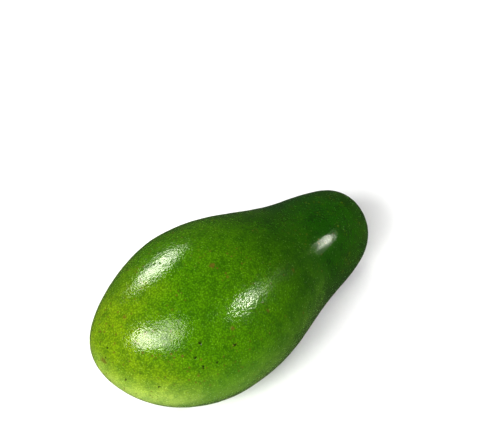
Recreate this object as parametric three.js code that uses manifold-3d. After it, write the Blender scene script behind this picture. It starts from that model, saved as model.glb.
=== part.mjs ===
// A whole green avocado, picked, lying on its side, with the stub of its stem still in the stem end.
// Units are millimetres and +Z is up. The table is the plane Z = 0. The origin is the middle of the small
// flat spot that the fruit rests on, and +X is the level direction that the stem end points to.
import * as THREE from 'three';
import { mergeVertices } from 'three/addons/utils/BufferGeometryUtils.js';
import Module from 'manifold-3d';

// The fruit's outline. A station is a distance along the fruit's own axis from the blossom end.
const LENGTH = 137;
const WIDEST_STATION = 48;
const WIDEST_RADIUS = 33.7;
const NECK_STATION = 107;
const NECK_RADIUS = 21.2;
const NECK_SLOPE = 0.175; // how fast the radius falls at the neck, in mm a mm
const OVALNESS = 1.03; // width over height of every cross-section

// How full each curve of the outline is: the share of its span that it holds its starting direction.
const BLOSSOM_FULLNESS = { leaving: 0.65, arriving: 0.35 };
const FLANK_FULLNESS = { leaving: 0.43, arriving: 0.43 };
const CROWN_FULLNESS = { leaving: 0.68, arriving: 0.7 };

// The fruit grew a little crooked: its axis swings sideways towards both ends from its straight station.
const STRAIGHT_STATION = 60;
const NECK_SWING = 3.8;
const BLOSSOM_SWING = -3;
const BLOSSOM_TIP_SWING = 7.8;

// Soft ridges and swellings that run round and along the skin.
const SWELLINGS = [
  { height: 0.26, ridges: 2, phase: 0.9, twist: 0.018 },
  { height: 0.16, ridges: 3, phase: -1.1, twist: 0.026 },
  { height: 0.11, ridges: 5, phase: 0.4, twist: -0.017 },
  { height: 0.05, ridges: 8, phase: 2.2, twist: 0.031 },
];
const SWELLING_FADE = 16; // they die away over this distance towards the two ends

// One low bump on the neck. At its reach from the middle it has sunk to six tenths of its height.
const NECK_BULGE = { station: 105.5, angle: THREE.MathUtils.degToRad(124), height: 1.3, reach: 6.8 };

// The hollows at the two ends, and the socket that the stem's foot stands in.
const BLOSSOM_HOLLOW = { radius: 6.5, depth: 0.6 };
const STEM_HOLLOW = { radius: 11, depth: 2.1 };
const SOCKET_RADIUS = 4.4;
const SOCKET_DEPTH = 1.5;

// The stub of the stem.
const STEM_GAP = 0.35; // clear space between the stub and its socket
const STEM_FOOT_RADIUS = SOCKET_RADIUS - STEM_GAP;
const STEM_TOP_RADIUS = 2.75;
const STEM_HEIGHT = 2.9; // above the mouth of the socket
const STEM_CUP_DEPTH = 0.45; // the broken face is hollow by this much
const STEM_CUP_BEND = { radius: 0.55, depth: 0.7 }; // where the hollow levels out, as shares of the two
const STEM_RIDGES = { count: 7, height: 0.09 };

// How the fruit lies: its neck hangs a little lower than its blossom end.
const RESTING_TILT = THREE.MathUtils.degToRad(12);
const FLAT_DEPTH = 0.35; // the skin that is flattened under the fruit's weight

// How finely the two solids are drawn.
const FRUIT_SIDES = 72;
const STEM_SIDES = 36;
const BLOSSOM_STEPS = 15;
const FLANK_STEPS = 16;
const CROWN_STEPS = 19;
const BLOSSOM_CROWDING = 1.15; // above 1, the rings stand closer together near the end
const CROWN_CROWDING = 1.25;
const MOUTH_MARGIN = 0.5; // no ring of the skin is closer than this to the socket's mouth
const SHOULDER_STEPS = 6;
const SEARCH_STEPS = 1000; // how finely the resting point is looked for along the flank

const SKIN_COLOUR = 0x4a8c12;
const STEM_COLOUR = 0xb98a34;

// The three curves of the outline, from the blossom end to the stem end. X is the station, Y the radius.
function outlineCurves() {
  const flankSpan = NECK_STATION - WIDEST_STATION;
  const crownSpan = LENGTH - NECK_STATION;
  const point = (station, radius) => new THREE.Vector2(station, radius);
  const blossom = new THREE.CubicBezierCurve(
    point(0, 0),
    point(0, WIDEST_RADIUS * BLOSSOM_FULLNESS.leaving),
    point(WIDEST_STATION * (1 - BLOSSOM_FULLNESS.arriving), WIDEST_RADIUS),
    point(WIDEST_STATION, WIDEST_RADIUS),
  );
  const reach = flankSpan * FLANK_FULLNESS.arriving;
  const flank = new THREE.CubicBezierCurve(
    point(WIDEST_STATION, WIDEST_RADIUS),
    point(WIDEST_STATION + flankSpan * FLANK_FULLNESS.leaving, WIDEST_RADIUS),
    point(NECK_STATION - reach, NECK_RADIUS + NECK_SLOPE * reach),
    point(NECK_STATION, NECK_RADIUS),
  );
  const run = crownSpan * CROWN_FULLNESS.leaving;
  const crown = new THREE.CubicBezierCurve(
    point(NECK_STATION, NECK_RADIUS),
    point(NECK_STATION + run, NECK_RADIUS - NECK_SLOPE * run),
    point(LENGTH, NECK_RADIUS * CROWN_FULLNESS.arriving),
    point(LENGTH, 0),
  );
  return { blossom, flank, crown };
}

// How deep a round hollow is at a radius: deepest in the middle and level with the skin at its rim.
function hollowDepth(hollow, radius) {
  const share = Math.min(radius / hollow.radius, 1);
  return hollow.depth * 0.5 * (1 + Math.cos(Math.PI * share));
}

// The stations of the socket's mouth and floor.
const MOUTH_STATION = LENGTH - hollowDepth(STEM_HOLLOW, SOCKET_RADIUS);
const FLOOR_STATION = MOUTH_STATION - SOCKET_DEPTH;

// The whole outline as points, with X as the radius and Y as the station, ready for a lathe.
function fruitProfile() {
  const { blossom, flank, crown } = outlineCurves();
  const points = [];
  for (let i = 0; i < BLOSSOM_STEPS; i += 1) {
    const { x: station, y: radius } = blossom.getPoint((i / BLOSSOM_STEPS) ** BLOSSOM_CROWDING);
    points.push(new THREE.Vector2(radius, station + hollowDepth(BLOSSOM_HOLLOW, radius)));
  }
  for (let i = 0; i < FLANK_STEPS; i += 1) {
    const { x: station, y: radius } = flank.getPoint(i / FLANK_STEPS);
    points.push(new THREE.Vector2(radius, station));
  }
  for (let i = 0; i < CROWN_STEPS; i += 1) {
    const { x: station, y: radius } = crown.getPoint(1 - (1 - i / CROWN_STEPS) ** CROWN_CROWDING);
    if (radius < SOCKET_RADIUS + MOUTH_MARGIN) break;
    points.push(new THREE.Vector2(radius, station - hollowDepth(STEM_HOLLOW, radius)));
  }
  points.push(new THREE.Vector2(SOCKET_RADIUS, MOUTH_STATION));
  points.push(new THREE.Vector2(SOCKET_RADIUS, FLOOR_STATION));
  points.push(new THREE.Vector2(0, FLOOR_STATION));
  return points;
}

// The stub's outline: a foot in the socket, a swelling shoulder and a hollow broken face.
function stemProfile() {
  const foot = FLOOR_STATION + STEM_GAP;
  const top = MOUTH_STATION + STEM_HEIGHT;
  const points = [new THREE.Vector2(0, foot), new THREE.Vector2(STEM_FOOT_RADIUS, foot)];
  for (let i = 0; i <= SHOULDER_STEPS; i += 1) {
    const turn = (i / SHOULDER_STEPS) * Math.PI * 0.5;
    const radius = STEM_TOP_RADIUS + (STEM_FOOT_RADIUS - STEM_TOP_RADIUS) * Math.cos(turn);
    points.push(new THREE.Vector2(radius, MOUTH_STATION + (top - MOUTH_STATION) * Math.sin(turn)));
  }
  const { radius: bendShare, depth: depthShare } = STEM_CUP_BEND;
  points.push(new THREE.Vector2(STEM_TOP_RADIUS * bendShare, top - STEM_CUP_DEPTH * depthShare));
  points.push(new THREE.Vector2(0, top - STEM_CUP_DEPTH));
  return points;
}

// How far the axis has swung sideways at a station.
function swing(station) {
  if (station > STRAIGHT_STATION) {
    return NECK_SWING * ((station - STRAIGHT_STATION) / (LENGTH - STRAIGHT_STATION)) ** 2;
  }
  const share = (STRAIGHT_STATION - station) / STRAIGHT_STATION;
  return BLOSSOM_SWING * share ** 2 + BLOSSOM_TIP_SWING * share ** 5;
}

// How high the bump on the neck is at a station, an angle round the axis and a radius: a bell curve of the
// distance along and round the skin.
function bulge(station, angle, radius) {
  const turn = THREE.MathUtils.euclideanModulo(angle - NECK_BULGE.angle + Math.PI, 2 * Math.PI) - Math.PI;
  const distance = Math.hypot(station - NECK_BULGE.station, radius * turn);
  return NECK_BULGE.height * Math.exp(-0.5 * (distance / NECK_BULGE.reach) ** 2);
}

// How far the skin stands out at a station, an angle round the axis and a radius.
function swelling(station, angle, radius) {
  const fromEnd = Math.min(station, LENGTH - station);
  const fade = THREE.MathUtils.smoothstep(fromEnd, 0, SWELLING_FADE);
  const wave = ({ height, ridges, phase, twist }) =>
    height * Math.sin(ridges * angle + phase + twist * station);
  return fade * SWELLINGS.reduce((sum, ridge) => sum + wave(ridge), bulge(station, angle, radius));
}

// The ribbed skin of the stub, strongest half way up its shoulder.
function stemRibbing(station, angle) {
  const share = THREE.MathUtils.clamp((station - MOUTH_STATION) / STEM_HEIGHT, 0, 1);
  return STEM_RIDGES.height * Math.sin(Math.PI * share) * Math.cos(STEM_RIDGES.count * angle);
}

// A turned body, laid along X, with its skin raised by a formula and its axis swung like the fruit's.
function grownSolid(profile, sides, raise) {
  const geometry = new THREE.LatheGeometry(profile, sides);
  const position = geometry.getAttribute('position');
  for (let i = 0; i < position.count; i += 1) {
    const station = position.getY(i);
    const radius = Math.hypot(position.getX(i), position.getZ(i));
    const angle = Math.atan2(position.getX(i), position.getZ(i));
    const grown = radius > 0 ? radius + raise(station, angle, radius) : 0;
    const across = OVALNESS * grown * Math.cos(angle) + swing(station);
    position.setXYZ(i, station, across, grown * Math.sin(angle));
  }
  return geometry;
}

// The point of the flank that faces straight down once the fruit lies at its tilt: X is its station and Y
// its radius.
function restingPoint() {
  const { flank } = outlineCurves();
  let step = 0;
  let tangent = flank.getTangent(0);
  while (-tangent.y < tangent.x * Math.tan(RESTING_TILT)) {
    step += 1;
    tangent = flank.getTangent(step / SEARCH_STEPS);
  }
  return flank.getPoint(step / SEARCH_STEPS);
}

// Turns a body from the fruit's own axis to the way it lies, with its resting point at the origin.
function layDown(geometry) {
  const { x: station, y: radius } = restingPoint();
  geometry.translate(-station, -swing(station), radius);
  geometry.rotateY(RESTING_TILT);
  geometry.translate(0, 0, -FLAT_DEPTH);
  return geometry;
}

// A closed three.js geometry as a solid that can be cut.
function solidOf(geometry, wasm) {
  const bare = geometry.clone();
  bare.deleteAttribute('normal');
  bare.deleteAttribute('uv');
  const merged = mergeVertices(bare);
  const vertProperties = new Float32Array(merged.getAttribute('position').array);
  const triVerts = new Uint32Array(merged.index.array);
  return new wasm.Manifold(new wasm.Mesh({ numProp: 3, vertProperties, triVerts }));
}

// A cut solid as a three.js geometry.
function geometryOf(solid) {
  const mesh = solid.getMesh();
  const geometry = new THREE.BufferGeometry();
  geometry.setAttribute('position', new THREE.BufferAttribute(mesh.vertProperties, mesh.numProp));
  geometry.setIndex(new THREE.BufferAttribute(mesh.triVerts, 1));
  geometry.computeVertexNormals();
  return geometry;
}

// The fruit, flattened a little where it touches the table.
function makeFruit(wasm) {
  const whole = layDown(grownSolid(fruitProfile(), FRUIT_SIDES, swelling));
  const table = new THREE.BoxGeometry(2 * LENGTH, 2 * LENGTH, LENGTH).translate(0, 0, -LENGTH / 2);
  const rested = solidOf(whole, wasm).subtract(solidOf(table, wasm));
  const skin = new THREE.MeshStandardMaterial({ color: SKIN_COLOUR, roughness: 0.32, metalness: 0 });
  const fruit = new THREE.Mesh(geometryOf(rested), skin);
  fruit.name = 'fruit';
  return fruit;
}

// The stub of the stem, standing clear of its socket.
function makeStem() {
  const bark = new THREE.MeshStandardMaterial({ color: STEM_COLOUR, roughness: 0.75, metalness: 0 });
  const stem = new THREE.Mesh(layDown(grownSolid(stemProfile(), STEM_SIDES, stemRibbing)), bark);
  stem.name = 'stem_stub';
  return stem;
}

const wasm = await Module();
wasm.setup();

const avocado = new THREE.Group();
avocado.add(makeFruit(wasm), makeStem());

export default avocado;
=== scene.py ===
"""A whole green avocado with the stub of its stem, lying on a pale table in soft studio light.

The fruit and the stub are surfaces worked out with numpy from the same sizes and formulas as the solids
that they stand for. Lengths are in metres, the table is the plane Z = 0, and the origin is the middle of
the flat spot under the fruit. A station is a distance along the fruit's own axis from its blossom end, and
an angle runs round that axis from the level direction on the far side over the top.
"""

import logging
import math
from dataclasses import dataclass
from enum import Enum
from typing import NamedTuple

import bpy
import numpy as np
from mathutils import Matrix, Vector


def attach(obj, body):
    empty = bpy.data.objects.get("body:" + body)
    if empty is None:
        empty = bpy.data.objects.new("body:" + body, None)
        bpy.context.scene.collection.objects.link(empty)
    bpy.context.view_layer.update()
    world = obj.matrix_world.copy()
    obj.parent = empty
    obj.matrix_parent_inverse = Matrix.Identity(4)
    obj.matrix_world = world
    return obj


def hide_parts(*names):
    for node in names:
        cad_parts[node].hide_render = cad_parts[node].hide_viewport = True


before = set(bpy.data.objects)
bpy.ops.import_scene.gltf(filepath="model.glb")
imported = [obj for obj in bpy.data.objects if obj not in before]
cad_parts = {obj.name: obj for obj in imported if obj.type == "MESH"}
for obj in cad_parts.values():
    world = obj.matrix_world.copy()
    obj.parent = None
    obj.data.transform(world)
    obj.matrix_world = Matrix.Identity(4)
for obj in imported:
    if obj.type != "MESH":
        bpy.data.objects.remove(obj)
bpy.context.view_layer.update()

log = logging.getLogger("avocado")

MM = 0.001
Colour = tuple[float, float, float]
Socket = bpy.types.NodeSocket


# Shapes


def smoothstep(value: np.ndarray, low: float, high: float) -> np.ndarray:
    """A soft step from 0 at low to 1 at high: 3 t^2 - 2 t^3.

    Args:
        value: Where to read the step.
        low: Where it starts.
        high: Where it ends.

    Returns:
        The height of the step, from 0 to 1.
    """
    share = np.clip((value - low) / (high - low), 0.0, 1.0)
    return share * share * (3.0 - 2.0 * share)


def bezier(points: list[tuple[float, float]], count: int) -> np.ndarray:
    """A cubic Bezier curve, its points weighted (1-t)^3, 3t(1-t)^2, 3t^2(1-t) and t^3.

    Args:
        points: Its four control points.
        count: How many points to return, ends included.

    Returns:
        The curve as count rows of two numbers.
    """
    t = np.linspace(0.0, 1.0, count)[:, None]
    a, b, c, d = (np.array(point) for point in points)
    return (1 - t) ** 3 * a + 3 * t * (1 - t) ** 2 * b + 3 * t**2 * (1 - t) * c + t**3 * d


def respaced(line: np.ndarray, fineness: np.ndarray, count: int) -> np.ndarray:
    """Points at even steps along a line, where a step counts more where the line is to be finer.

    Args:
        line: The line as rows of two numbers.
        fineness: How much finer each point of it is to be than plain stretches.
        count: How many points to return.

    Returns:
        The new points, ends included.
    """
    lengths = np.linalg.norm(np.diff(line, axis=0), axis=1) * 0.5 * (fineness[1:] + fineness[:-1])
    travelled = np.concatenate([[0.0], np.cumsum(lengths)])
    wanted = np.linspace(0.0, travelled[-1], count)
    return np.stack([np.interp(wanted, travelled, line[:, 0]), np.interp(wanted, travelled, line[:, 1])], 1)


@dataclass(frozen=True)
class Hollow:
    """A round dip in the skin.

    Attributes:
        radius: Where its rim meets the skin.
        depth: How deep its middle is.
    """

    radius: float
    depth: float

    def dip(self, radius: np.ndarray) -> np.ndarray:
        """How deep it is at a radius: half a cosine wave, deepest in the middle."""
        share = np.minimum(radius / self.radius, 1.0)
        return 0.5 * self.depth * (1.0 + np.cos(np.pi * share))


@dataclass(frozen=True)
class Swelling:
    """One soft wave that runs round and along the skin.

    Attributes:
        height: How far it stands out.
        ridges: How many ridges it has round the fruit.
        phase: Where its first ridge is, in radians.
        twist: How far a ridge turns for each metre along the fruit, in radians.
    """

    height: float
    ridges: int
    phase: float
    twist: float

    def wave(self, station: np.ndarray, angle: np.ndarray) -> np.ndarray:
        """Its height at places on the skin: a sine of the angle, the phase and the twist."""
        return self.height * np.sin(self.ridges * angle + self.phase + self.twist * station)


@dataclass(frozen=True)
class Bulge:
    """One low bump at its own place on the skin.

    Attributes:
        station: Where its middle is along the fruit.
        angle: Where its middle is round the fruit, in radians.
        height: How far it stands out.
        reach: How far out it has sunk to six tenths of its height.
    """

    station: float
    angle: float
    height: float
    reach: float

    def rise(self, station: np.ndarray, angle: np.ndarray, radius: np.ndarray) -> np.ndarray:
        """Its height at places on the skin: a bell curve of the distance along and round the skin."""
        turn = np.angle(np.exp(1j * (angle - self.angle)))
        distance = np.hypot(station - self.station, radius * turn)
        return self.height * np.exp(-0.5 * (distance / self.reach) ** 2)


@dataclass(frozen=True)
class Unevenness:
    """Small bumps all over a surface: a sum of plane waves in random directions.

    Attributes:
        height: Their usual height.
        shortest: The shortest wave.
        longest: The longest wave.
        waves: How many waves there are.
        seed: What the random draws start from.
    """

    height: float
    shortest: float
    longest: float
    waves: int
    seed: int

    def at(self, points: np.ndarray) -> np.ndarray:
        """How far the surface stands out at points given as rows of three numbers.

        Args:
            points: The places, with X, Y and Z in the last axis.

        Returns:
            Their heights, with the last axis gone.
        """
        draw = np.random.default_rng(self.seed)
        way = draw.normal(size=(3, self.waves))
        way /= np.linalg.norm(way, axis=0)
        length = draw.uniform(self.shortest, self.longest, self.waves)
        phase = draw.uniform(0.0, 2.0 * np.pi, self.waves)
        waves = np.sin(points @ (way * 2.0 * np.pi / length) + phase)
        return self.height * math.sqrt(2.0 / self.waves) * waves.sum(-1)


@dataclass(frozen=True)
class FruitForm:
    """The fruit's form: its outline, its crooked axis, its swellings and the way it lies."""

    length: float = 137 * MM
    widest_station: float = 48 * MM
    widest_radius: float = 33.7 * MM
    neck_station: float = 107 * MM
    neck_radius: float = 21.2 * MM
    neck_slope: float = 0.175
    ovalness: float = 1.03
    blossom_fullness: tuple[float, float] = (0.65, 0.35)
    flank_fullness: tuple[float, float] = (0.43, 0.43)
    crown_fullness: tuple[float, float] = (0.68, 0.7)
    straight_station: float = 60 * MM
    neck_swing: float = 3.8 * MM
    blossom_swing: float = -3 * MM
    blossom_tip_swing: float = 7.8 * MM
    swelling_fade: float = 16 * MM
    blossom_hollow: Hollow = Hollow(6.5 * MM, 0.6 * MM)
    stem_hollow: Hollow = Hollow(11 * MM, 2.1 * MM)
    socket_radius: float = 4.4 * MM
    socket_depth: float = 1.5 * MM
    resting_tilt: float = math.radians(12)
    flat_depth: float = 0.35 * MM
    curve_points: int = 400
    resting_points: int = 4000
    swellings: tuple[Swelling, ...] = (
        Swelling(0.26 * MM, 2, 0.9, 18.0),
        Swelling(0.16 * MM, 3, -1.1, 26.0),
        Swelling(0.11 * MM, 5, 0.4, -17.0),
        Swelling(0.05 * MM, 8, 2.2, 31.0),
    )
    neck_bulge: Bulge = Bulge(105.5 * MM, math.radians(124), 1.3 * MM, 6.8 * MM)

    def curves(self, count: int) -> list[np.ndarray]:
        """The outline's three curves: to the widest place, on to the neck, and over it to the stem end.

        Args:
            count: How many points each has.

        Returns:
            Their points, as station and radius.
        """
        leave_tip, reach_widest = self.blossom_fullness
        leave_widest, reach_neck = self.flank_fullness
        leave_neck, reach_end = self.crown_fullness
        widest, thick = self.widest_station, self.widest_radius
        neck, thin = self.neck_station, self.neck_radius
        span = neck - widest
        back = span * reach_neck
        run = (self.length - neck) * leave_neck
        before = (neck - back, thin + self.neck_slope * back)
        after = (neck + run, thin - self.neck_slope * run)
        nearing = (widest * (1 - reach_widest), thick)
        blossom = [(0.0, 0.0), (0.0, thick * leave_tip), nearing, (widest, thick)]
        flank = [(widest, thick), (widest + span * leave_widest, thick), before, (neck, thin)]
        crown = [(neck, thin), after, (self.length, thin * reach_end), (self.length, 0.0)]
        return [bezier(points, count) for points in (blossom, flank, crown)]

    def skin_line(self) -> np.ndarray:
        """The three curves in a row, as rows of station and radius, without the tip itself."""
        return np.concatenate([curve[1:] for curve in self.curves(self.curve_points)])

    @property
    def mouth_station(self) -> float:
        """The station of the socket's mouth, at the bottom of the stem's hollow."""
        return self.length - float(self.stem_hollow.dip(np.array(self.socket_radius)))

    @property
    def floor_station(self) -> float:
        """The station of the socket's floor."""
        return self.mouth_station - self.socket_depth

    def swing(self, station: np.ndarray) -> np.ndarray:
        """How far the axis has swung: by a square towards the neck, a square and a fifth power to the tip.

        Args:
            station: Where along the fruit.

        Returns:
            The sideways shift there.
        """
        ahead = np.clip((station - self.straight_station) / (self.length - self.straight_station), 0, None)
        behind = np.clip((self.straight_station - station) / self.straight_station, 0, None)
        blossom_end = self.blossom_swing * behind**2 + self.blossom_tip_swing * behind**5
        return self.neck_swing * ahead**2 + blossom_end

    def swelling(self, station: np.ndarray, angle: np.ndarray, radius: np.ndarray) -> np.ndarray:
        """How far the skin stands out: the swellings and the bulge, dying away softly towards both ends."""
        fade = smoothstep(np.minimum(station, self.length - station), 0.0, self.swelling_fade)
        waves = sum(swelling.wave(station, angle) for swelling in self.swellings)
        return fade * (waves + self.neck_bulge.rise(station, angle, radius))

    def resting_point(self) -> tuple[float, float]:
        """The station and radius of the flank where its slope is the tangent of the resting tilt."""
        flank = self.curves(self.resting_points)[1]
        slope = -np.gradient(flank[:, 1], flank[:, 0])
        row = int(np.argmax(slope >= math.tan(self.resting_tilt)))
        return float(flank[row, 0]), float(flank[row, 1])

    def laid(self, station: np.ndarray, across: np.ndarray, height: np.ndarray) -> np.ndarray:
        """Points on or about the fruit's own axis, laid down the way the fruit lies.

        The fruit is moved so that its resting point is at the origin, turned about Y until its stem end is
        lower by the resting tilt, and let down by the depth of the flat spot.

        Args:
            station: Distances along the fruit's axis.
            across: Distances sideways from it, before it swings.
            height: Distances above it.

        Returns:
            The points, with X, Y and Z in a new last axis.
        """
        rest_station, rest_radius = self.resting_point()
        x = station - rest_station
        y = across + self.swing(station) - self.swing(np.array(rest_station))
        z = height + rest_radius
        cos = math.cos(self.resting_tilt)
        sin = math.sin(self.resting_tilt)
        return np.stack(np.broadcast_arrays(x * cos + z * sin, y, z * cos - x * sin - self.flat_depth), -1)

    def axis_point(self, station: float) -> np.ndarray:
        """The point of the fruit's own axis at a station, before it swings."""
        return self.laid(np.array(station), np.array(0.0), np.array(0.0))

    def skin_point(self, station: float, angle: float) -> Vector:
        """The point of the skin at a station and an angle in degrees."""
        line = self.skin_line()
        radius = float(np.interp(station, line[:, 0], line[:, 1]))
        turn = math.radians(angle)
        across = self.ovalness * radius * math.cos(turn)
        return Vector(self.laid(np.array(station), np.array(across), np.array(radius * math.sin(turn))))


FORM = FruitForm()


def full_turn(sides: int) -> np.ndarray:
    """The angles of a ring's points, in one row."""
    return np.linspace(0.0, 2.0 * np.pi, sides, endpoint=False)[None]


def placed(name: str, data: bpy.types.ID) -> bpy.types.Object:
    """A new object in the scene, at the origin."""
    made = bpy.data.objects.new(name, data)
    bpy.context.scene.collection.objects.link(made)
    return made


def closed_mesh(name: str, rings: np.ndarray, first: np.ndarray, last: np.ndarray) -> bpy.types.Object:
    """A closed, smooth surface: a grid of rings, with a fan of triangles to a pole at each end.

    Args:
        name: The piece's name.
        rings: Its rings, as rows of points in turning order, each with X, Y and Z.
        first: The pole before the first ring.
        last: The pole after the last ring.

    Returns:
        The new object, at the origin.
    """
    count, sides = rings.shape[:2]
    points = np.concatenate([rings.reshape(-1, 3), first[None], last[None]])
    here = np.arange(sides)
    after = np.roll(here, -1)
    start = (np.arange(count - 1) * sides)[:, None]
    quads = np.stack([start + here, start + after, start + sides + after, start + sides + here], -1)
    tail = (count - 1) * sides
    opening = np.stack([np.full(sides, count * sides), after, here], -1)
    closing = np.stack([np.full(sides, count * sides + 1), tail + here, tail + after], -1)
    faces = [*quads.reshape(-1, 4).tolist(), *opening.tolist(), *closing.tolist()]
    mesh = bpy.data.meshes.new(name)
    mesh.from_pydata(points, [], faces)
    mesh.shade_smooth()
    return placed(name, mesh)


def store(piece: bpy.types.Object, name: str, rings: np.ndarray, first: object, last: object) -> None:
    """Keeps a number or a vector for each point of a closed mesh, for its material to read.

    Args:
        piece: The object that closed_mesh made.
        name: The attribute's name.
        rings: The values of its rings.
        first: The value of its first pole.
        last: The value of its last pole.
    """
    values = np.concatenate([rings.reshape(-1, *rings.shape[2:]), [first, last]]).astype(np.float32)
    kind, part = ("FLOAT", "value") if values.ndim == 1 else ("FLOAT_VECTOR", "vector")
    piece.data.attributes.new(name, kind, "POINT").data.foreach_set(part, values.ravel())


def outward(rings: np.ndarray) -> np.ndarray:
    """The unit vectors that point out of a grid of rings: the step round crossed with the step along."""
    around = np.roll(rings, -1, 1) - np.roll(rings, 1, 1)
    along = np.gradient(rings, axis=0)
    out = np.cross(around, along)
    return out / np.maximum(np.linalg.norm(out, axis=-1, keepdims=True), 1e-12)


# Materials


class Feed(Enum):
    """The shader sockets that a finish feeds."""

    COLOUR = "Base Color"
    ROUGHNESS = "Roughness"
    NORMAL = "Normal"
    INDEX = "IOR"


class Ramp(NamedTuple):
    """A soft step: where it starts, where it ends, and what it gives before and after."""

    low: float
    high: float
    first: float = 0.0
    last: float = 1.0


class Cloud(NamedTuple):
    """Soft noise: the size of its lumps, how many finer layers it has, and how strong each of them is."""

    size: float
    detail: float = 2.0
    roughness: float = 0.5


class Strewing(NamedTuple):
    """Strewn flecks, in millimetres: how far apart, how big, in what share of places, and how soft."""

    spacing: float
    radius: float
    share: float
    edge: float


class Grain(NamedTuple):
    """Close grain: the size of one grain in millimetres, and how much finer noise there is on it."""

    size: float
    roughening: float


class Recipe:
    """A node tree being put together, one node at a time."""

    def __init__(self, tree: bpy.types.NodeTree) -> None:
        """Starts on an empty tree."""
        self.tree = tree

    def node(self, kind: str, *first: object, **named: object) -> bpy.types.Node:
        """A new node.

        Args:
            kind: Its kind.
            first: What goes into its first inputs, in order: numbers, colours or sockets.
            named: Settings, by names that start small, and inputs, by names that start with a capital.

        Returns:
            The node.
        """
        made = self.tree.nodes.new(kind)
        for name in filter(str.islower, named):
            setattr(made, name, named[name])
        for socket, value in zip(made.inputs, first):
            self.put(socket, value)
        for name in filter(str.istitle, named):
            self.put(made.inputs[name], named[name])
        return made

    def put(self, socket: Socket, value: object) -> None:
        """Links a socket to another, or sets it to a plain value."""
        if isinstance(value, bpy.types.NodeSocket):
            self.tree.links.new(value, socket)
        elif hasattr(socket.default_value, "__len__") and len(socket.default_value) == 4:
            socket.default_value = (*value, 1.0)
        else:
            socket.default_value = value

    def sum(self, operation: str, *terms: object) -> Socket:
        """One step of arithmetic, such as ADD or MULTIPLY_ADD, on numbers or sockets."""
        return self.node("ShaderNodeMath", *terms, operation=operation).outputs[0]

    def times(self, first: object, second: object) -> Socket:
        """The product of two numbers."""
        return self.sum("MULTIPLY", first, second)

    def scaled(self, vector: Socket, factor: float) -> Socket:
        """A vector times a number."""
        return self.node("ShaderNodeVectorMath", vector, operation="SCALE", Scale=factor).outputs[0]

    def moved(self, vector: Socket, offset: object) -> Socket:
        """A vector plus another, fixed or from a socket."""
        return self.node("ShaderNodeVectorMath", vector, offset, operation="ADD").outputs[0]

    def height(self, place: Socket) -> Socket:
        """How high a place is above the table."""
        return self.node("ShaderNodeSeparateXYZ", place).outputs["Z"]

    def step(self, value: Socket, low: object, high: object, first: float = 0.0, last: float = 1.0) -> Socket:
        """A soft step of a value.

        Args:
            value: What it reads.
            low: Where it starts.
            high: Where it ends.
            first: What it gives at low.
            last: What it gives at high.

        Returns:
            The stepped value.
        """
        ramp = (value, low, high, first, last)
        return self.node("ShaderNodeMapRange", *ramp, interpolation_type="SMOOTHSTEP").outputs[0]

    def blend(self, share: object, first: object, second: object, mode: str = "MIX") -> Socket:
        """Two colours mixed.

        Args:
            share: How much of the second there is, from 0 to 1.
            first: A colour or a socket.
            second: A colour or a socket.
            mode: How they mix.

        Returns:
            The mixed colour.
        """
        made = self.node("ShaderNodeMix", data_type="RGBA", blend_type=mode)
        self.put(made.inputs["Factor"], share)
        self.put(made.inputs[6], first)
        self.put(made.inputs[7], second)
        return made.outputs[2]

    def noise(self, vector: Socket, size: float, detail: float = 2.0, roughness: float = 0.5) -> Socket:
        """Soft noise whose lumps are of about a size, in the vector's own units."""
        settings = {"Scale": 1.0 / size, "Detail": detail, "Roughness": roughness}
        return self.node("ShaderNodeTexNoise", vector, **settings).outputs["Fac"]

    def stored(self, name: str, output: str = "Fac") -> Socket:
        """A number that the mesh holds for each point, or three of them by the output Vector."""
        return self.node("ShaderNodeAttribute", attribute_name=name).outputs[output]

    def wobbled(self, place: Socket, size: float, reach: float) -> Socket:
        """A place shifted by soft noise, so that what is drawn round it gets a ragged edge.

        Args:
            place: The place.
            size: How big the noise's lumps are.
            reach: How far it shifts a place at most.

        Returns:
            The shifted place.
        """
        shift = self.node("ShaderNodeTexNoise", place, Scale=1.0 / size)
        centred = self.moved(shift.outputs["Color"], (-0.5, -0.5, -0.5))
        return self.moved(place, self.scaled(centred, 2.0 * reach))

    def bump(self, height: Socket, distance: float) -> Socket:
        """The normal of bumps whose height of 1 stands for a distance."""
        return self.node("ShaderNodeBump", Strength=1.0, Distance=distance, Height=height).outputs[0]


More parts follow.
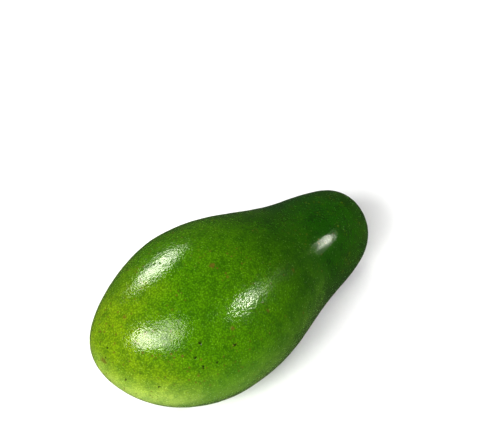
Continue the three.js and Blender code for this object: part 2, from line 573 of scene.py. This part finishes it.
@dataclass
class Effects:
    """The node groups that the finishes share, each built once.

    Attributes:
        smallest: The size of the smallest fleck against the usual one.
        size_spread: How much bigger the biggest one is.
        smoothing: How rounded the grain's cells are.
    """

    smallest: float = 0.6
    size_spread: float = 0.8
    smoothing: float = 0.6

    def __post_init__(self) -> None:
        """Builds both groups."""
        self.flecks = self.make_flecks()
        self.grain = self.make_grain()

    @staticmethod
    def new_group(name: str, inputs: tuple[str, ...], output: str) -> tuple[Recipe, list[Socket], Socket]:
        """An empty node group that reads a place and some numbers, and gives one number.

        Args:
            name: The group's name.
            inputs: The names of its numbers, which follow the input Place.
            output: The name of its output.

        Returns:
            A recipe for its tree, the sockets of what it is given, and the socket of its result.
        """
        tree = bpy.data.node_groups.new(name, "ShaderNodeTree")
        tree.interface.new_socket("Place", in_out="INPUT", socket_type="NodeSocketVector")
        for title in inputs:
            tree.interface.new_socket(title, in_out="INPUT", socket_type="NodeSocketFloat")
        tree.interface.new_socket(output, in_out="OUTPUT", socket_type="NodeSocketFloat")
        recipe = Recipe(tree)
        given = list(recipe.node("NodeGroupInput").outputs)[: len(inputs) + 1]
        return recipe, given, recipe.node("NodeGroupOutput").inputs[0]

    def make_flecks(self) -> bpy.types.NodeTree:
        """Small round flecks strewn over a surface, no two of one size.

        Space is split into cells about one point each. A fleck is where the distance to a cell's point is
        under its radius, and a cell has one only if its own random number is under the share.

        Returns:
            The group. Its output is 1 inside a fleck and 0 outside.
        """
        inputs = ("Spacing", "Radius", "Share", "Edge")
        recipe, (place, spacing, usual, share, edge), result = self.new_group("flecks", inputs, "Mask")
        scale = recipe.sum("DIVIDE", 1.0, spacing)
        cells = recipe.node("ShaderNodeTexVoronoi", place, feature="F1", Scale=scale)
        distance = recipe.times(cells.outputs["Distance"], spacing)
        draws = recipe.node("ShaderNodeSeparateColor", cells.outputs["Color"])
        size = recipe.sum("MULTIPLY_ADD", draws.outputs[1], self.size_spread, self.smallest)
        radius = recipe.times(usual, size)
        inside = recipe.step(distance, recipe.sum("SUBTRACT", radius, edge), radius, 1.0, 0.0)
        chosen = recipe.sum("LESS_THAN", draws.outputs[0], share)
        recipe.put(result, recipe.times(inside, chosen))
        return recipe.tree

    def make_grain(self) -> bpy.types.NodeTree:
        """Fine close grain: the rounded cells of a net, roughened by noise of half their size.

        Returns:
            The group. Its output is a height from about 0 to 1.
        """
        recipe, (place, size, roughening), result = self.new_group("grain", ("Size", "Roughening"), "Height")
        scale = recipe.sum("DIVIDE", 1.0, size)
        rounding = {"feature": "SMOOTH_F1", "Scale": scale, "Smoothness": self.smoothing}
        cells = recipe.node("ShaderNodeTexVoronoi", place, **rounding)
        noise = recipe.node("ShaderNodeTexNoise", place, Scale=recipe.times(scale, 2.0))
        rough = recipe.times(noise.outputs["Fac"], roughening)
        domes = recipe.sum("SUBTRACT", 1.0, cells.outputs["Distance"])
        recipe.put(result, recipe.sum("ADD", domes, rough))
        return recipe.tree


class Coat(Recipe):
    """A material being put together, with its patterns in millimetres.

    Attributes:
        effects: The shared node groups.
        material: The material.
        shader: Its shader, which already reaches the output.
        place: The place on the piece, in the piece's own frame.
    """

    def __init__(self, name: str, effects: Effects | None = None) -> None:
        """Starts on an empty material."""
        self.effects = effects
        self.material = bpy.data.materials.new(name)
        self.material.use_nodes = True
        self.material.node_tree.nodes.clear()
        super().__init__(self.material.node_tree)
        self.shader = self.node("ShaderNodeBsdfPrincipled")
        self.node("ShaderNodeOutputMaterial", self.shader.outputs[0])
        self.place = self.scaled(self.node("ShaderNodeTexCoord").outputs["Object"], 1.0 / MM)

    def feed(self, socket: Feed, value: object) -> None:
        """Drives one socket of the shader, or sets it."""
        self.put(self.shader.inputs[socket.value], value)

    def clouds(self, cloud: Cloud, ramp: Ramp) -> Socket:
        """Soft noise all over the piece, stepped."""
        return self.step(self.noise(self.place, *cloud), *ramp)

    def flecks(self, place: Socket, strewing: Strewing) -> Socket:
        """Where strewn flecks are."""
        return self.node("ShaderNodeGroup", place, *strewing, node_tree=self.effects.flecks).outputs[0]

    def grain(self, grain: Grain) -> Socket:
        """The height of a close grain all over the piece."""
        return self.node("ShaderNodeGroup", self.place, *grain, node_tree=self.effects.grain).outputs[0]


class Mark(NamedTuple):
    """One blemish: its station and radius in millimetres, and its angle round the fruit in degrees."""

    station: float
    angle: float
    radius: float


@dataclass(frozen=True)
class SkinFinish:
    """The waxy green peel: yellow-green at the blossom end and deep green at the neck, with fine flecks.

    Its patterns are in millimetres. A ramp reads the height over the table where its name ends in height, the
    share of the fruit's length where it ends in along, the distance from the fruit's axis where it ends in
    reach, and otherwise the pattern that it is named for.
    """

    blossom: Colour = (0.2, 0.315, 0.007)
    # painted reflection: a paler, greyer green for low on the blossom end, the pale table's reflection and
    # bounce light painted over slightly paler skin
    blossom_painted_reflection: Colour = (0.58, 0.72, 0.19)
    belly: Colour = (0.09, 0.232, 0.0015)
    # painted reflection of the pale table, low on the belly
    belly_painted_reflection: Colour = (0.2, 0.355, 0.055)
    neck: Colour = (0.0125, 0.076, 0.0006)
    # painted reflection of the pale table, low on the neck
    neck_painted_reflection: Colour = (0.022, 0.078, 0.001)
    shade: Colour = (0.36, 0.56, 0.5)
    pale_fleck: Colour = (0.45, 0.32, 0.5)
    light_fleck: Colour = (0.2, 0.42, 0.03)
    dark_grain: Colour = (0.5, 0.55, 0.5)
    russet: Colour = (0.12, 0.09, 0.014)
    scar: Colour = (0.1, 0.08, 0.012)
    pit: Colour = (0.009, 0.012, 0.003)
    halo: Colour = (0.26, 0.36, 0.016)
    socket: Colour = (0.055, 0.045, 0.007)
    index: float = 1.42

    drift: Cloud = Cloud(22.0, 3.0)
    drift_along: float = 0.36
    drift_height: float = 20.0
    # where the painted table reflection fades out going up, on the body and on the neck
    painted_reflection_height: Ramp = Ramp(24.0, 50.0)
    neck_painted_reflection_height: Ramp = Ramp(24.0, 46.0)
    belly_along: Ramp = Ramp(0.0, 0.25)
    neck_along: Ramp = Ramp(0.28, 0.8)
    mottle: Cloud = Cloud(5.0, 5.0, 0.65)
    mottling: Ramp = Ramp(0.4, 0.66, 0.0, 0.5)

    spots: Strewing = Strewing(0.95, 0.3, 0.7, 0.22)
    spot_height: Ramp = Ramp(26.0, 58.0, 0.4, 1.0)
    spot_glow: float = 0.62
    spot_paint: float = 0.05
    spot_dullness: float = 0.3
    fine_grain: Grain = Grain(0.7, 0.9)
    graining: Ramp = Ramp(0.75, 1.35, 0.95, 0.0)

    rust: Strewing = Strewing(1.6, 0.5, 0.6, 0.4)
    rust_shift: tuple[float, float, float] = (31.0, 17.0, 5.0)
    rust_patches: Cloud = Cloud(14.0, 3.0)
    rusting: Ramp = Ramp(0.44, 0.62, 0.0, 0.8)
    rust_along: Ramp = Ramp(0.03, 0.16, 0.8, 0.0)
    specks: Strewing = Strewing(7.0, 0.38, 0.35, 0.25)
    wobble_size: float = 1.1
    wobble_reach: float = 1.3
    scuff_edge: float = 0.6
    scuff_strength: float = 0.8
    pit_edge: float = 0.25
    pit_strength: float = 0.9

    end_noise: Cloud = Cloud(3.0, 3.0)
    end_raggedness: Ramp = Ramp(0.3, 0.7, -1.2, 1.2)
    stem_along: Ramp = Ramp(0.8, 0.9)
    halo_reach: Ramp = Ramp(4.6, 9.5, 0.75, 0.0)
    socket_reach: Ramp = Ramp(4.15, 4.75, 1.0, 0.0)
    tip_along: Ramp = Ramp(0.1, 0.2, 1.0, 0.0)
    scar_reach: Ramp = Ramp(0.3, 1.8, 0.7, 0.0)

    wear: Cloud = Cloud(5.0, 4.0, 0.6)
    roughness: Ramp = Ramp(0.3, 0.7, 0.09, 0.18)
    pebbles: Grain = Grain(1.0, 0.5)
    pebble_height: float = 0.5
    pores: Grain = Grain(0.5, 0.5)
    pore_height: float = 0.3
    pit_depth: float = 1.2
    sunken_edge: float = 0.3
    relief_height: float = 0.11 * MM

    pits: tuple[Mark, ...] = (
        Mark(23, 138, 0.7), Mark(35, 149, 0.6), Mark(20, 148, 0.6), Mark(27, 156, 0.6), Mark(22, 157, 0.7),
        Mark(9, 180, 0.5), Mark(30, 64, 0.4), Mark(31, 68, 0.4), Mark(13, 111, 0.5), Mark(2, -108, 0.4),
        Mark(3, 31, 0.35), Mark(4, 22, 0.4), Mark(2.5, -171, 0.35), Mark(5, 162, 0.4),
    )
    scuffs: tuple[Mark, ...] = (
        Mark(43, 96, 1.1), Mark(36, 138, 0.7), Mark(9, 80, 0.8),
        Mark(53, 140, 0.6), Mark(45, 108, 0.6), Mark(74, 127, 0.7),
    )

    def marks(self, coat: Coat, place: Socket, marks: tuple[Mark, ...], edge: float) -> Socket:
        """Where any of a few marks lies: the largest of their soft discs.

        Args:
            coat: The material being put together.
            place: The place on the skin, shifted or not.
            marks: The marks.
            edge: How wide their soft edge is.

        Returns:
            A mask that is 1 inside a mark and 0 outside.
        """
        mask = 0.0
        for mark in marks:
            middle = FORM.skin_point(mark.station * MM, mark.angle) / MM
            gap = coat.node("ShaderNodeVectorMath", place, middle, operation="DISTANCE")
            disc = coat.step(gap.outputs["Value"], mark.radius - edge, mark.radius + edge, 1.0, 0.0)
            mask = coat.sum("MAXIMUM", mask, disc)
        return mask

    def ground(self, coat: Coat) -> Socket:
        """The peel's green from the blossom end to the neck, softly mottled; its paler, greyer low side is a
        painted reflection of the pale table over slightly paler skin.

        Args:
            coat: The material being put together.

        Returns:
            The colour.
        """
        noise = coat.noise(coat.place, *self.drift)
        drift = coat.sum("MULTIPLY_ADD", noise, self.drift_along, -0.5 * self.drift_along)
        along = coat.sum("ADD", coat.stored("along"), drift)
        height = coat.height(coat.place)
        drifted = coat.sum("ADD", height, coat.times(drift, self.drift_height))
        # painted reflection and bounce light of the pale table: the low-down colours hold below these heights
        low = coat.step(drifted, *self.painted_reflection_height)
        blossom = coat.blend(low, self.blossom_painted_reflection, self.blossom)
        belly = coat.blend(low, self.belly_painted_reflection, self.belly)
        # the neck's painted table reflection, low down
        neck = coat.blend(coat.step(height, *self.neck_painted_reflection_height), self.neck_painted_reflection, self.neck)
        low_half = coat.blend(coat.step(along, *self.belly_along), blossom, belly)
        colour = coat.blend(coat.step(along, *self.neck_along), low_half, neck)
        return coat.blend(coat.clouds(self.mottle, self.mottling), colour, self.shade, "MULTIPLY")

    def spotted(self, coat: Coat, pale: Socket, colour: Socket) -> Socket:
        """A colour with the peel's dark grain and its pale spots laid over it, both fainter low down.

        Args:
            coat: The material being put together.
            pale: Where the pale spots are.
            colour: The colour under them.

        Returns:
            The new colour.
        """
        plainness = coat.step(coat.height(coat.place), *self.spot_height)
        pale = coat.times(pale, plainness)
        grain = coat.step(coat.grain(self.fine_grain), *self.graining)
        colour = coat.blend(coat.times(grain, plainness), colour, self.dark_grain, "MULTIPLY")
        colour = coat.blend(coat.times(pale, self.spot_glow), colour, self.pale_fleck, "DODGE")
        return coat.blend(coat.times(pale, self.spot_paint), colour, self.light_fleck)

    def blemished(self, coat: Coat, colour: Socket) -> Socket:
        """A colour with the peel's rust flecks, scuffs and pits laid over it.

        Args:
            coat: The material being put together.
            colour: The colour under them.

        Returns:
            The new colour.
        """
        patch = coat.step(coat.stored("along"), *self.rust_along)
        patch = coat.sum("MAXIMUM", coat.clouds(self.rust_patches, self.rusting), patch)
        shifted = coat.moved(coat.place, self.rust_shift)
        rust = coat.times(coat.flecks(shifted, self.rust), patch)
        ragged = coat.wobbled(coat.place, self.wobble_size, self.wobble_reach)
        scuffs = coat.times(self.marks(coat, ragged, self.scuffs, self.scuff_edge), self.scuff_strength)
        colour = coat.blend(coat.sum("MAXIMUM", rust, scuffs), colour, self.russet)
        pits = self.marks(coat, ragged, self.pits, self.pit_edge)
        pits = coat.sum("MAXIMUM", coat.flecks(shifted, self.specks), pits)
        return coat.blend(coat.times(pits, self.pit_strength), colour, self.pit)

    def ends(self, coat: Coat, colour: Socket) -> Socket:
        """A colour with a halo and a dark socket at the stem end and a brown scar at the blossom tip.

        Args:
            coat: The material being put together.
            colour: The colour under them.

        Returns:
            The new colour.
        """
        along = coat.stored("along")
        reach = coat.stored("reach")
        ragged = coat.sum("ADD", reach, coat.clouds(self.end_noise, self.end_raggedness))
        stem_side = coat.step(along, *self.stem_along)
        halo = coat.times(coat.step(ragged, *self.halo_reach), stem_side)
        colour = coat.blend(halo, colour, self.halo)
        inside = coat.times(coat.step(reach, *self.socket_reach), stem_side)
        colour = coat.blend(inside, colour, self.socket)
        scar = coat.times(coat.step(ragged, *self.scar_reach), coat.step(along, *self.tip_along))
        return coat.blend(scar, colour, self.scar)

    def relief(self, coat: Coat) -> Socket:
        """The peel's fine bumps: pebbles, pores and the sunken pits, as a normal.

        Args:
            coat: The material being put together.

        Returns:
            The normal.
        """
        pebbles = coat.times(coat.grain(self.pebbles), self.pebble_height)
        pores = coat.times(coat.grain(self.pores), self.pore_height)
        pits = coat.times(self.marks(coat, coat.place, self.pits, self.sunken_edge), self.pit_depth)
        return coat.bump(coat.sum("SUBTRACT", coat.sum("ADD", pebbles, pores), pits), self.relief_height)

    def material(self, effects: Effects) -> bpy.types.Material:
        """The finish as a new material that uses the shared node groups.

        Args:
            effects: The shared node groups.

        Returns:
            The new material.
        """
        coat = Coat("peel", effects)
        pale = coat.flecks(coat.place, self.spots)
        colour = self.blemished(coat, self.spotted(coat, pale, self.ground(coat)))
        dull = coat.times(pale, self.spot_dullness)
        coat.feed(Feed.COLOUR, self.ends(coat, colour))
        coat.feed(Feed.ROUGHNESS, coat.sum("ADD", coat.clouds(self.wear, self.roughness), dull))
        coat.feed(Feed.NORMAL, self.relief(coat))
        coat.feed(Feed.INDEX, self.index)
        return coat.material


@dataclass(frozen=True)
class StemFinish:
    """The dry stub: ochre sides streaked with brown, and a reddish-brown broken face."""

    ochre: Colour = (0.56, 0.36, 0.05)
    streak: Colour = (0.2, 0.09, 0.02)
    rim: Colour = (0.12, 0.04, 0.012)
    face: Colour = (0.24, 0.085, 0.05)
    pith: Colour = (0.45, 0.22, 0.13)
    streaks: Cloud = Cloud(0.7, 4.0, 0.6)
    streaking: Ramp = Ramp(0.42, 0.66, 0.0, 0.7)
    rim_rise: Ramp = Ramp(0.55, 1.0, 0.0, 0.8)
    spots: Strewing = Strewing(0.9, 0.34, 0.6, 0.2)
    spot_strength: float = 0.6
    lumps: Grain = Grain(0.6, 0.6)
    hollows: Ramp = Ramp(0.7, 1.1, 0.6, 0.0)
    wear: Cloud = Cloud(1.2, 4.0)
    roughness: Ramp = Ramp(0.3, 0.7, 0.6, 0.84)
    bark: Grain = Grain(0.4, 0.9)
    bark_height: float = 0.12 * MM

    def colour(self, coat: Coat) -> Socket:
        """The stub's colour, from its foot up its sides and over its broken face.

        Args:
            coat: The material being put together.

        Returns:
            The colour.
        """
        streaks = coat.step(coat.noise(coat.stored("grain", "Vector"), *self.streaks), *self.streaking)
        side = coat.blend(streaks, self.ochre, self.streak)
        side = coat.blend(coat.step(coat.stored("rise"), *self.rim_rise), side, self.rim)
        spots = coat.times(coat.flecks(coat.place, self.spots), self.spot_strength)
        hollows = coat.step(coat.grain(self.lumps), *self.hollows)
        face = coat.blend(hollows, coat.blend(spots, self.face, self.pith), self.rim)
        return coat.blend(coat.stored("face"), side, face)

    def material(self, effects: Effects) -> bpy.types.Material:
        """The finish as a new material that uses the shared node groups.

        Args:
            effects: The shared node groups.

        Returns:
            The new material.
        """
        coat = Coat("stem_bark", effects)
        coat.feed(Feed.COLOUR, self.colour(coat))
        coat.feed(Feed.ROUGHNESS, coat.clouds(self.wear, self.roughness))
        coat.feed(Feed.NORMAL, coat.bump(coat.grain(self.bark), self.bark_height))
        return coat.material


@dataclass(frozen=True)
class TableFinish:
    """The plain pale table top, with a faint cloudiness in its sheen.

    Its white is a little cool, because the lamps are a little warm.
    """

    colour: Colour = (0.76, 0.78, 0.84)
    sheen: Cloud = Cloud(40.0)
    roughness: Ramp = Ramp(0.3, 0.7, 0.51, 0.59)

    def material(self) -> bpy.types.Material:
        """The finish as a new material."""
        coat = Coat("table_top")
        coat.feed(Feed.COLOUR, self.colour)
        coat.feed(Feed.ROUGHNESS, coat.clouds(self.sheen, self.roughness))
        return coat.material


# The object


@dataclass
class Fruit:
    """The whole fruit, a closed surface from the blossom tip over the skin and into the stem's socket."""

    form: FruitForm = FORM
    sides: int = 336
    rings: int = 290
    lip: float = 0.6 * MM
    lip_points: int = 20
    wall_points: int = 12
    floor_points: int = 16
    floor_end: float = 0.2 * MM
    inside_fineness: float = 3.0
    tip_fineness: float = 1.5
    tip_stretch: float = 2 * MM
    rough_skin: Unevenness = Unevenness(0.02 * MM, 6 * MM, 16 * MM, 28, 11)
    pebbles: Unevenness = Unevenness(0.012 * MM, 2.2 * MM, 4 * MM, 40, 12)

    def outline(self) -> np.ndarray:
        """The outline as rows of station and radius, finer at the tip and in the socket.

        The three curves run on from each other, dipped by the two hollows. The last one ends in a quarter
        circle over the socket's lip, a straight wall and a flat floor.
        """
        form = self.form
        skin = form.skin_line()
        edge = form.socket_radius + self.lip
        skin = skin[(skin[:, 0] < form.neck_station) | (skin[:, 1] > edge)]
        ahead = skin[:, 0] > form.widest_station
        skin[:, 0] += np.where(ahead, -form.stem_hollow.dip(skin[:, 1]), form.blossom_hollow.dip(skin[:, 1]))
        turn = np.linspace(0.0, 0.5 * np.pi, self.lip_points)
        top = skin[-1, 0]
        lip = np.stack([top - self.lip * (1 - np.cos(turn)), edge - self.lip * np.sin(turn)], 1)
        wall = np.linspace(lip[-1], (form.floor_station, form.socket_radius), self.wall_points)[1:]
        floor = np.linspace(wall[-1], (form.floor_station, self.floor_end), self.floor_points)[1:]
        line = np.concatenate([skin, lip, wall, floor])
        inside = self.inside_fineness * (np.arange(len(line)) >= len(skin))
        tip = self.tip_fineness * (line[:, 0] < self.tip_stretch)
        return respaced(line, 1.0 + inside + tip, self.rings)

    def surface(self) -> tuple[np.ndarray, np.ndarray, np.ndarray]:
        """The rings of the skin, laid down and flattened on the table, with their stations and radii.

        A ring is an ellipse whose radius is the outline's plus the swellings. It is laid the way the fruit
        lies, moved outwards by the two kinds of unevenness, and nowhere lower than the table.
        """
        outline = self.outline()
        station = outline[:, :1]
        radius = outline[:, 1:]
        angle = full_turn(self.sides)
        grown = radius + self.form.swelling(station, angle, radius)
        across = self.form.ovalness * grown * np.cos(angle)
        rings = self.form.laid(station, across, grown * np.sin(angle))
        fade = smoothstep(radius, self.form.socket_radius, self.form.stem_hollow.radius)
        bumps = fade * (self.rough_skin.at(rings) + self.pebbles.at(rings))
        rings = rings + outward(rings) * bumps[..., None]
        rings[..., 2] = np.maximum(rings[..., 2], 0.0)
        return rings, np.broadcast_to(station, grown.shape), np.broadcast_to(radius, grown.shape)

    def build(self, effects: Effects) -> bpy.types.Object:
        """Makes the fruit's piece and dresses it.

        Args:
            effects: The shared node groups.

        Returns:
            The new piece, which stands for the fruit's solid.
        """
        rings, station, radius = self.surface()
        form = self.form
        tip = form.axis_point(form.blossom_hollow.depth)
        piece = closed_mesh("avocado_skin", rings, tip, form.axis_point(form.floor_station))
        store(piece, "along", station / form.length, 0.0, 1.0)
        store(piece, "reach", radius / MM, 0.0, 0.0)
        piece.data.materials.append(SkinFinish().material(effects))
        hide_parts("fruit")
        return piece


@dataclass
class StemStub:
    """The stub of the stem: a foot in the socket, a ribbed shoulder and a hollow broken face."""

    form: FruitForm = FORM
    gap: float = 0.35 * MM
    top_radius: float = 2.75 * MM
    height: float = 2.9 * MM
    cup_depth: float = 0.45 * MM
    cup_power: float = 0.8
    centre_share: float = 0.05
    foot_end: float = 0.2 * MM
    face_edge: float = 0.35 * MM
    buried_edge: float = 0.4 * MM
    grain_stretch: float = 0.25
    foot_points: int = 20
    wall_points: int = 12
    shoulder_points: int = 60
    face_points: int = 50
    sides: int = 220
    rings: int = 170
    ribs: tuple[Swelling, ...] = (
        Swelling(0.09 * MM, 7, 0.0, 0.0),
        Swelling(0.05 * MM, 11, 1.3, 90.0),
        Swelling(0.03 * MM, 19, 0.4, -140.0),
    )
    bark: Unevenness = Unevenness(0.035 * MM, 0.6 * MM, 1.6 * MM, 40, 21)
    torn_fibres: Unevenness = Unevenness(0.09 * MM, 0.5 * MM, 1.3 * MM, 40, 22)

    @property
    def foot_radius(self) -> float:
        """The radius of the foot, clear of the socket by the gap."""
        return self.form.socket_radius - self.gap

    def outline(self) -> np.ndarray:
        """The outline as rows of station and radius.

        It runs over the foot's bottom and up its wall, then a quarter ellipse makes the shoulder, and a
        power of a quarter sine wave the cup of the broken face.
        """
        foot = self.form.floor_station + self.gap
        mouth = self.form.mouth_station
        bottom = np.linspace((foot, self.foot_end), (foot, self.foot_radius), self.foot_points)
        wall = np.linspace(bottom[-1], (mouth, self.foot_radius), self.wall_points)[1:]
        turn = np.linspace(0.0, 0.5 * np.pi, self.shoulder_points)[1:]
        shrink = self.foot_radius - self.top_radius
        shoulder = np.stack([mouth + self.height * np.sin(turn), self.top_radius + shrink * np.cos(turn)], 1)
        share = np.linspace(1.0, self.centre_share, self.face_points)[1:]
        dip = self.cup_depth * np.cos(0.5 * np.pi * share) ** self.cup_power
        face = np.stack([mouth + self.height - dip, self.top_radius * share], 1)
        line = np.concatenate([bottom, wall, shoulder, face])
        return respaced(line, np.ones(len(line)), self.rings)

    def build(self, effects: Effects) -> bpy.types.Object:
        """Makes the stub's piece and dresses it.

        The ribs grow and fade with a half sine wave up the shoulder, and stop at the broken face. Bark
        roughens the sides above the socket, and torn fibres the face. The wood's grain is each point's place
        in the stub, shortened along the stem.

        Args:
            effects: The shared node groups.

        Returns:
            The new piece, which stands for the stub's solid.
        """
        form = self.form
        outline = self.outline()
        station = outline[:, :1]
        radius = outline[:, 1:]
        angle = full_turn(self.sides)
        rise = np.clip((station - form.mouth_station) / self.height, 0.0, 1.0)
        on_top = np.cumsum(np.gradient(radius, axis=0) < 0, axis=0) > 0
        face = on_top * smoothstep(self.top_radius - radius, 0.0, self.face_edge)
        ribbing = np.sin(np.pi * rise) * sum(rib.wave(station, angle) for rib in self.ribs)
        grown = radius + ribbing * (1.0 - face)
        rings = form.laid(station, form.ovalness * grown * np.cos(angle), grown * np.sin(angle))
        above = smoothstep(station, form.mouth_station, form.mouth_station + self.buried_edge)
        bumps = above * ((1.0 - face) * self.bark.at(rings) + face * self.torn_fibres.at(rings))
        rings = rings + outward(rings) * bumps[..., None]
        foot = form.axis_point(station[0, 0])
        piece = closed_mesh("stem_bark", rings, foot, form.axis_point(station[-1, 0]))
        wood = (station * self.grain_stretch, radius * np.cos(angle), radius * np.sin(angle))
        store(piece, "rise", np.broadcast_to(rise, grown.shape), 0.0, 1.0)
        store(piece, "face", np.broadcast_to(face, grown.shape), 0.0, 1.0)
        store(piece, "grain", np.stack(np.broadcast_arrays(*wood), -1) / MM, np.zeros(3), np.zeros(3))
        piece.data.materials.append(StemFinish().material(effects))
        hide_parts("stem_stub")
        return piece


# The stage


@dataclass
class Table:
    """A plain level table top under the fruit."""

    half_width: float = 4.0

    def build(self) -> bpy.types.Object:
        """Makes the table top, one square at the height that the fruit rests on."""
        mesh = bpy.data.meshes.new("table_top")
        signs = ((-1, -1), (1, -1), (1, 1), (-1, 1))
        points = [(x * self.half_width, y * self.half_width, 0.0) for x, y in signs]
        mesh.from_pydata(points, [], [(0, 1, 2, 3)])
        top = placed("table_top", mesh)
        top.data.materials.append(TableFinish().material())
        top.visible_glossy = False
        return top


def aimed(thing: bpy.types.Object, place: Vector, way: Vector, turn: float = 0.0) -> bpy.types.Object:
    """Stands a light or the camera in the scene.

    Args:
        thing: The light or the camera.
        place: Where it stands.
        way: Which way it faces.
        turn: How far it is turned about that way, in degrees.

    Returns:
        The same object.
    """
    spin = Matrix.Rotation(math.radians(turn), 3, "Z")
    thing.location = place
    thing.rotation_mode = "QUATERNION"
    thing.rotation_quaternion = (way.to_track_quat("-Z", "Y").to_matrix() @ spin).to_quaternion()
    return thing


def bearing(azimuth: float, elevation: float) -> Vector:
    """The unit vector towards an azimuth and an elevation, in degrees, azimuth 0 being towards -Y."""
    turn = math.radians(azimuth)
    lift = math.radians(elevation)
    return Vector((math.sin(turn) * math.cos(lift), -math.cos(turn) * math.cos(lift), math.sin(lift)))


@dataclass(frozen=True)
class SoftLight:
    """A round studio light that faces the fruit.

    Attributes:
        name: What it does.
        azimuth: Where it stands round the fruit, in degrees.
        elevation: How high it stands, in degrees.
        distance: How far it is from its target.
        width: Its width.
        height: Its height.
        turn: How far it is turned about the line to the fruit, in degrees.
        glow: How bright its face is, seen straight on.
        fan: How far to the side its light reaches, in degrees.
        target: The point that it faces, and that its distance is from.
        tint: Its colour, a faintly warm white that the table's cool white offsets.
    """

    name: str
    azimuth: float
    elevation: float
    distance: float
    width: float
    height: float
    turn: float
    glow: float
    fan: float = 90.0
    target: tuple[float, float, float] = (0.0, 0.0, 34 * MM)
    tint: Colour = (1.0, 0.975, 0.9)

    def build(self) -> bpy.types.Object:
        """Makes the light.

        Returns:
            The light. Its power is its brightness times its area times pi, less the share that a narrow
            fan saves, which is the fan's angle over its tangent.
        """
        data = bpy.data.lights.new(self.name, "AREA")
        data.shape = "ELLIPSE"
        data.color = self.tint
        data.size = self.width
        data.size_y = self.height
        data.spread = 2.0 * math.radians(self.fan)
        area = 0.25 * math.pi * self.width * self.height
        kept = 1.0 - math.radians(self.fan) / math.tan(math.radians(self.fan))
        data.energy = self.glow * math.pi * area * kept
        light = placed(self.name, data)
        light.visible_camera = False
        back = bearing(self.azimuth, self.elevation)
        return aimed(light, Vector(self.target) + back * self.distance, -back, self.turn)


@dataclass
class Studio:
    """The pale room and its soft lights, each placed where a highlight on the skin shows it.

    Attributes:
        ambient: How bright the room itself is.
        gamma: What the finished picture is graded by.
        lights: The lights.
    """

    ambient: float = 0.07
    gamma: float = 0.82
    lights: tuple[SoftLight, ...] = (
        SoftLight("left_light", -82.0, 42.0, 1.8, 0.74, 0.9, 0.0, 24.0),
        SoftLight("front_light", -56.0, 50.0, 1.8, 0.62, 1.3, 0.0, 10.5),
        SoftLight("rear_light", 168.5, 24.0, 1.8, 0.82, 0.57, 0.0, 21.0),
        SoftLight("right_light", 43.0, 35.0, 1.8, 0.84, 0.06, -33.0, 150.0),
        SoftLight("neck_light", 63.3, 20.8, 0.3, 0.16, 0.042, 50.0, 225.0, 6.2, (72 * MM, -8 * MM, 43 * MM)),
    )

    def build(self) -> list[bpy.types.Object]:
        """Makes the room's own light and the lamps."""
        world = bpy.data.worlds.new("pale_room")
        world.use_nodes = True
        background = world.node_tree.nodes["Background"]
        background.inputs["Color"].default_value = (1.0, 1.0, 1.0, 1.0)
        background.inputs["Strength"].default_value = self.ambient
        bpy.context.scene.world = world
        bpy.context.scene.view_settings.view_transform = "Standard"
        bpy.context.scene.view_settings.gamma = self.gamma
        return [light.build() for light in self.lights]


@dataclass
class PhotoCamera:
    """The camera, placed and aimed so that the fruit fills the same part of a 500 by 428 frame."""

    middle: tuple[float, float, float] = (0.0, 0.0, 34 * MM)
    azimuth: float = -41.75
    elevation: float = 55.0
    distance: float = 0.7
    aim_right: float = 9.9 * MM
    aim_up: float = 32 * MM
    lens: float = 128.0
    sensor: float = 36.0
    nearest: float = 10 * MM
    farthest: float = 100.0

    def build(self) -> bpy.types.Object:
        """Makes the camera.

        It stands at its distance from the fruit's middle and looks past it, to the right of it and above.

        Returns:
            The camera, which is the scene's own.
        """
        middle = Vector(self.middle)
        back = bearing(self.azimuth, self.elevation)
        right = bearing(self.azimuth + 90.0, 0.0)
        aim = middle + right * self.aim_right + back.cross(right) * self.aim_up
        data = bpy.data.cameras.new("photo_camera")
        data.lens = self.lens
        data.sensor_width = self.sensor
        data.clip_start = self.nearest
        data.clip_end = self.farthest
        place = middle + back * self.distance
        camera = aimed(placed("photo_camera", data), place, aim - place)
        bpy.context.scene.camera = camera
        return camera


def main() -> None:
    """Builds the camera, the stage and the two pieces."""
    logging.basicConfig(level=logging.INFO, format="%(name)s: %(message)s")
    PhotoCamera().build()
    Table().build()
    lights = Studio().build()
    log.info("camera, table and %d lights stand", len(lights))
    effects = Effects()
    for maker in (Fruit(), StemStub()):
        piece = maker.build(effects)
        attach(piece, "root")
        piece.data.calc_loop_triangles()
        log.info("%s has %d triangles", piece.name, len(piece.data.loop_triangles))


if __name__ == "__main__":
    main()
